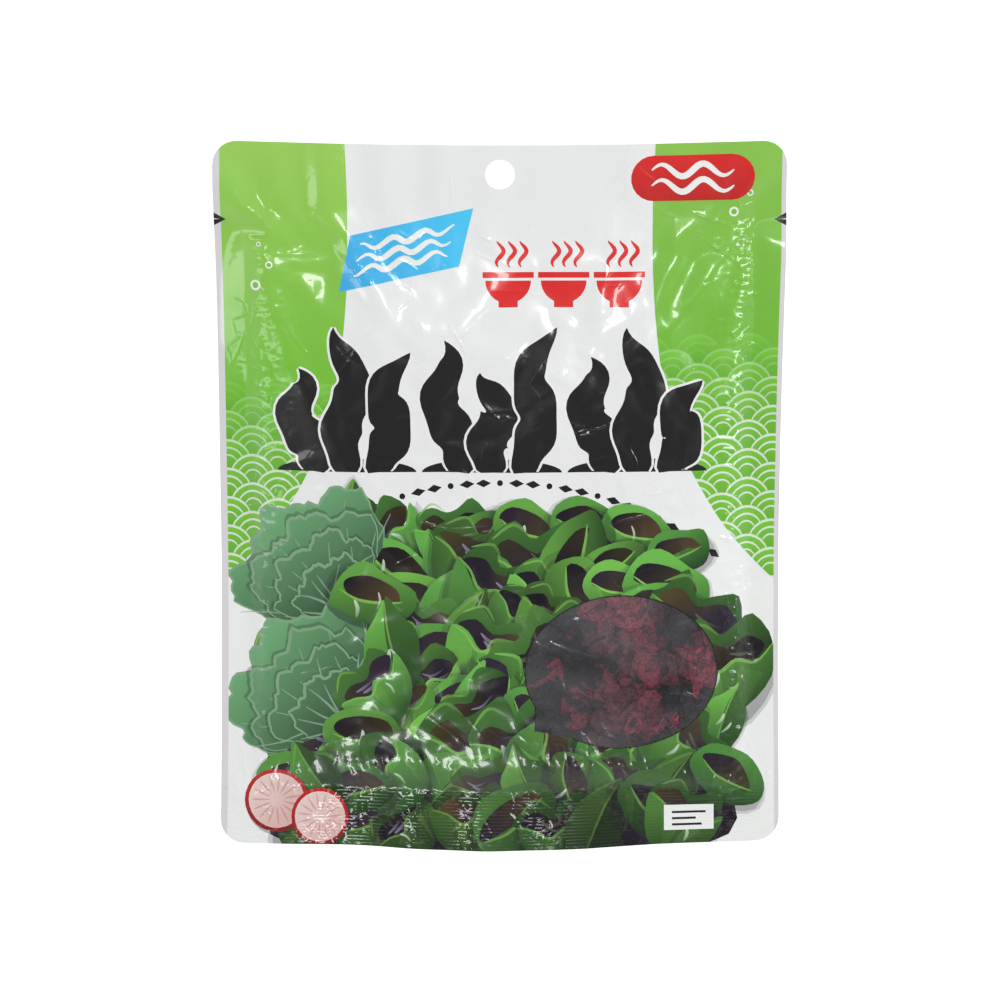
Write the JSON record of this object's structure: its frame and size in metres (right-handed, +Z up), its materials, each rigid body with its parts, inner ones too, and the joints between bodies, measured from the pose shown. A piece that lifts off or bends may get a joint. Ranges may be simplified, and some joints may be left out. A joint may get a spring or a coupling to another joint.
{
  "type": "retail pouch of dried cut wakame",
  "caption": "Flat sealed film pouch with a hang hole, tear notches and an oval clear window, filled with dried cut wakame flakes.",
  "frame": {"origin": "centre of the bounding box's base, on the surface that the pouch lies on", "axes": "+Y towards the header with the hang hole, +Z up out of the printed front, +X to the right as the front is read"},
  "size_m": [0.14, 0.1754, 0.0158],
  "materials": {
    "printed_film": "glossy printed laminate film",
    "back_film": "glossy white laminate film",
    "clear_film": "glossy clear film",
    "dried_wakame": "dry, crinkled, dull leaf",
    "maroon_wakame": "dry, crinkled, reddish leaf"
  },
  "bodies": {
    "root": {"front_film": "printed_film", "back_film": "back_film", "window_film": "clear_film", "wakame_heap": "dried_wakame", "wakame_flake_1": "dried_wakame", "wakame_flake_2": "maroon_wakame", "wakame_flake_3": "dried_wakame", "wakame_flake_4": "dried_wakame", "wakame_flake_5": "maroon_wakame", "wakame_flake_6": "dried_wakame", "wakame_flake_7": "dried_wakame", "wakame_flake_8": "maroon_wakame", "wakame_flake_9": "dried_wakame"}
  },
  "joints": []
}
